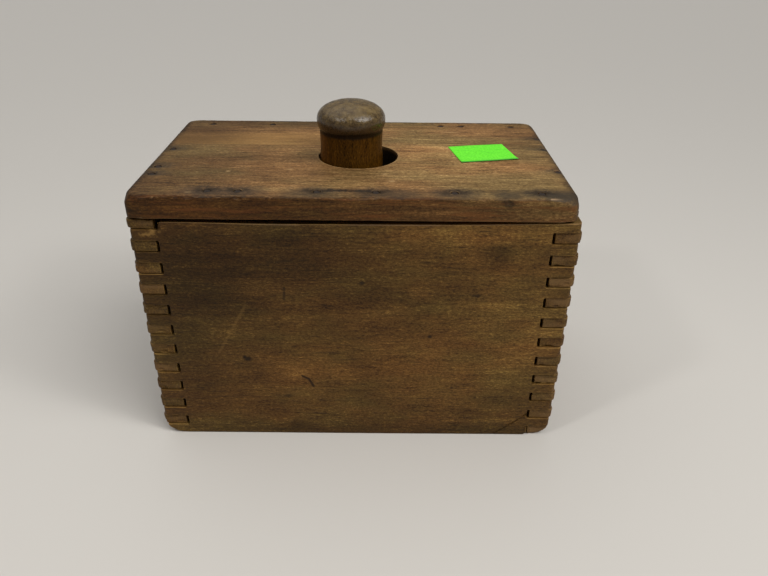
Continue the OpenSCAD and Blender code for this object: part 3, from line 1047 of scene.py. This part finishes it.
def handle_marks(tree, colour, place):
    """Grey-brown, handled patina on the knob, over the darker turned shank."""
    fine = tree.frame_mm()
    height = tree.axes_of(fine)["Z"]
    cap = tree.math("MULTIPLY", on_cap(tree), 0.94)
    patina = tree.blend(tree.step(tree.noise(fine, *PATINA_NOISE), 0.25, 0.75), PATINA)
    crown = tree.step(height, KNOB_TOP - 10, KNOB_TOP - 3)
    colour = tree.mix(cap, colour, tree.mix(crown, CAP_SIDE, patina))
    specks = tree.noise(fine, *SPECK_NOISE)
    worn = tree.step(height, KNOB_TOP - 1.2, KNOB_TOP - 4.5, 0.75)
    dark = tree.math("MULTIPLY", cap, tree.math("MULTIPLY", worn, tree.step(specks, 0.5, 0.62)))
    colour = tree.mix(dark, colour, DARK_SPECK)
    pale = tree.math("MULTIPLY", crown, tree.step(specks, 0.45, 0.34, 0.35))
    colour = tree.mix(pale, colour, PALE_SPECK)
    above = tree.step(height, LIP_Z - 2.0, LIP_Z - 0.6)
    below = tree.step(height, LIP_Z + 1.4, LIP_Z + 0.4, 0.9)
    return tree.mix(tree.math("MULTIPLY", above, below), colour, LIP_SHADE)


def make_plunger():
    handle = wood(
        "handle_wood", "ZXY", (6, 60), SHANK_TONE, 6, SHANK_FIGURE, handle_shine,
        layers=(handle_marks,)
    )
    plate = wood("plate_wood", "XYZ", (10, -70), PLATE_TONE, 7)
    wedge = wood("wedge_wood", "ZXY", (30, 20), PLATE_TONE, 8)
    turned = worn_copy("handle", "turned_handle", handle_wear, handle_carve, TURNED_VOXEL)
    finish_piece(turned, "plunger", "handle_wood", handle, "handle")
    board = worn_copy("press_plate", "plate_board", even_wear(0.6))
    finish_piece(board, "plunger", "plate_wood", plate, "press_plate")
    slip = worn_copy("handle_wedge", "wedge_slip", even_wear(0.3), voxel=NAIL_VOXEL)
    finish_piece(slip, "plunger", "wedge_wood", wedge, "handle_wedge")


# Nails

RUST = (rgb(20, 14, 9), rgb(38, 27, 17), rgb(64, 44, 27))


def rusted_iron():
    tree = Tree("rusted_iron")
    scale = tree.noise(tree.frame_mm(), (1.6, 1.6, 1.6), detail=4.0)
    tree.surface("Base Color", tree.blend(scale, RUST))
    tree.surface("Roughness", tree.math("MULTIPLY_ADD", scale, 0.3, 0.65))
    tree.surface("Metallic", 0.1)
    tree.bump(scale, 0.3)
    return tree.material


def nail_wear(co):
    return 0.2 + 0.6 * lattice_noise(co, 1.2, 71)


def nail_carve(co, normals):
    return 0.2 * lattice_noise(co, 0.8, 72)


def make_nails():
    iron = rusted_iron()
    for node in NAIL_NODES:
        name = node[:-1] + "_row"
        row = worn_copy(node, name, nail_wear, nail_carve, NAIL_VOXEL, NAIL_TRIANGLES)
        finish_piece(row, "box", "nail_iron", iron, node)


# Sticker

STICKER_AT = (53.4, 2.2)
STICKER_SIZE = (25.0, 21.5)
STICKER_TURN = math.radians(10.8)
STICKER_T = 0.12
STICKER_COLUMNS, STICKER_ROWS = 40, 48
# How high the sticker lies above the lid, how far its front edge curls up and how far it ripples
STICKER_GAP = 0.05
STICKER_CURL = 0.35
STICKER_RIPPLE = 0.04
STICKER_GREEN = (rgb(90, 222, 30), rgb(106, 240, 36), rgb(124, 250, 54))
FOLD_GREEN = rgb(52, 190, 40)
# Painted shade along the sticker's curled front edge
EDGE_SHADE_GREEN = rgb(38, 128, 34)


def sticker_lift(u, v):
    """Height of the sticker's underside above the lid, for u and v from -1 to 1."""
    curl = STICKER_CURL * ramp(v, -0.6, -1.0) * (0.7 + 0.3 * u)
    return STICKER_GAP + curl + STICKER_RIPPLE * np.sin(3 * u + 2 * v)


def sticker_paper():
    tree = Tree("sticker_paper")
    place = tree.frame_mm()
    fibre = tree.noise(place, (1.1, 1.1, 1.1), detail=5.0, rough=0.7)
    fold = tree.noise(place, (0.12, 0.5, 0.2), detail=2.0)
    green = tree.blend(tree.step(fibre, 0.3, 0.7), STICKER_GREEN)
    colour = tree.mix(tree.step(fold, 0.5, 0.75, 0.25), green, FOLD_GREEN)
    towards_front = (math.sin(STICKER_TURN), -math.cos(STICKER_TURN), 0)
    offset = tree.vector("SUBTRACT", place, (*STICKER_AT, 0))
    forward = tree.vector("DOT_PRODUCT", offset, towards_front)
    # Painted shade along the curled front edge
    edge = tree.step(forward, STICKER_SIZE[1] / 2 - 1.3, STICKER_SIZE[1] / 2 - 0.7, 0.75)
    tree.surface("Base Color", tree.mix(edge, colour, EDGE_SHADE_GREEN))
    tree.surface("Roughness", 0.55)
    tree.bump(tree.math("ADD", fibre, fold), 0.1, 0.3)
    return tree.material


def make_sticker():
    """A blank paper label on the lid, with its front edge a little lifted."""
    columns, rows = STICKER_COLUMNS, STICKER_ROWS
    u, v = np.meshgrid(np.linspace(-1, 1, columns), np.linspace(-1, 1, rows))
    u, v = u.ravel(), v.ravel()
    x, y = u * STICKER_SIZE[0] / 2, v * STICKER_SIZE[1] / 2
    turn = np.array([math.cos(STICKER_TURN), math.sin(STICKER_TURN)])
    points = np.stack([
        STICKER_AT[0] + x * turn[0] - y * turn[1],
        STICKER_AT[1] + x * turn[1] + y * turn[0],
        LID_TOP + sticker_lift(u, v),
    ], axis=1)
    quads = [
        (r * columns + c, r * columns + c + 1, (r + 1) * columns + c + 1, (r + 1) * columns + c)
        for r in range(rows - 1) for c in range(columns - 1)
    ]
    mesh = bpy.data.meshes.new("blank_sticker")
    mesh.from_pydata((points * MM).tolist(), [], quads)
    sticker = new_object("blank_sticker", mesh)
    sheet = sticker.modifiers.new("sheet", "SOLIDIFY")
    sheet.thickness = STICKER_T * MM
    sheet.offset = 1
    apply_modifiers(sticker)
    sticker.data.shade_smooth()
    finish_piece(sticker, "box", "sticker_paper", sticker_paper())


# Stage, light and camera

FLOOR_COLOUR = rgb(208, 203, 195)
FLOOR_HALF = 6.0
# Directions towards the lights. The small lamp at the front left gives a second glint on the knob
WINDOW = Vector((0.54, -0.37, 0.76)).normalized()
CEILING = Vector((-0.26, 0.22, 0.94)).normalized()
GLINT = Vector((-0.42, -0.42, 0.8)).normalized()
# Each light's share of full light on a level surface
WINDOW_SHARE = 0.34
CEILING_SHARE = 0.22
LAMP_SHARE = 0.14
GLINT_SHARE = 0.1
SKY_SHARE = 0.2
WINDOW_WIDTH = math.radians(40)
CEILING_WIDTH = math.radians(70)
LAMP_AWAY = 0.6
LAMP_SIZE = 0.12
GLINT_SIZE = 0.06
# The photograph's camera, in the frame
LENS_MM = 31.6
CAMERA_AT = Vector((9.9, -280.9, 207.6)) * MM
CAMERA_PITCH = math.radians(29.64)
CAMERA_YAW = math.radians(-0.30)
CAMERA_ROLL = math.radians(0.67)
CLIP_START = 0.01


def make_floor():
    mesh = bpy.data.meshes.new("floor")
    s = FLOOR_HALF
    mesh.from_pydata([(-s, -s, 0), (s, -s, 0), (s, s, 0), (-s, s, 0)], [], [(0, 1, 2, 3)])
    tree = Tree("pale_floor")
    tree.surface("Base Color", FLOOR_COLOUR)
    tree.surface("Roughness", 0.6)
    mesh.materials.append(tree.material)
    new_object("floor", mesh)


def add_light(data, towards, away):
    lamp = new_object(data.name, data)
    lamp.location = towards * away
    lamp.rotation_mode = "QUATERNION"
    lamp.rotation_quaternion = (-towards).to_track_quat("-Z", "Y")


def make_sun(name, towards, share, width):
    data = bpy.data.lights.new(name, "SUN")
    data.energy = math.pi * share / towards.z
    data.angle = width
    add_light(data, towards, 1.0)


def make_lamp(name, towards, share, away, size):
    """A disk lamp near enough to light its own side of the box more than the other."""
    data = bpy.data.lights.new(name, "AREA")
    data.shape = "DISK"
    data.size = size
    data.energy = math.pi ** 2 * away ** 2 * share / towards.z
    add_light(data, towards, away)


def make_sky():
    world = bpy.data.worlds.new("studio")
    world.use_nodes = True
    sky = world.node_tree.nodes["Background"]
    sky.inputs["Color"].default_value = (1, 1, 1, 1)
    sky.inputs["Strength"].default_value = SKY_SHARE
    bpy.context.scene.world = world


def make_camera():
    ahead = Vector((-math.sin(CAMERA_YAW), math.cos(CAMERA_YAW), 0))
    side = Vector((math.cos(CAMERA_YAW), math.sin(CAMERA_YAW), 0))
    up = Vector((0, 0, 1))
    look = math.cos(CAMERA_PITCH) * ahead - math.sin(CAMERA_PITCH) * up
    top = math.sin(CAMERA_PITCH) * ahead + math.cos(CAMERA_PITCH) * up
    right = math.cos(CAMERA_ROLL) * side + math.sin(CAMERA_ROLL) * top
    top = math.cos(CAMERA_ROLL) * top - math.sin(CAMERA_ROLL) * side
    data = bpy.data.cameras.new("photo_camera")
    data.lens = LENS_MM
    data.clip_start = CLIP_START
    camera = new_object("photo_camera", data)
    camera.matrix_world = Matrix.LocRotScale(
        CAMERA_AT, Matrix((right, top, -look)).transposed().to_quaternion(), None
    )
    bpy.context.scene.camera = camera


make_walls()
make_lid()
make_plunger()
make_nails()
make_sticker()
make_floor()
make_sun("window", WINDOW, WINDOW_SHARE, WINDOW_WIDTH)
make_sun("ceiling", CEILING, CEILING_SHARE, CEILING_WIDTH)
make_lamp("lamp", WINDOW, LAMP_SHARE, LAMP_AWAY, LAMP_SIZE)
make_lamp("glint", GLINT, GLINT_SHARE, LAMP_AWAY, GLINT_SIZE)
make_sky()
make_camera()
bpy.context.scene.view_settings.view_transform = "Standard"
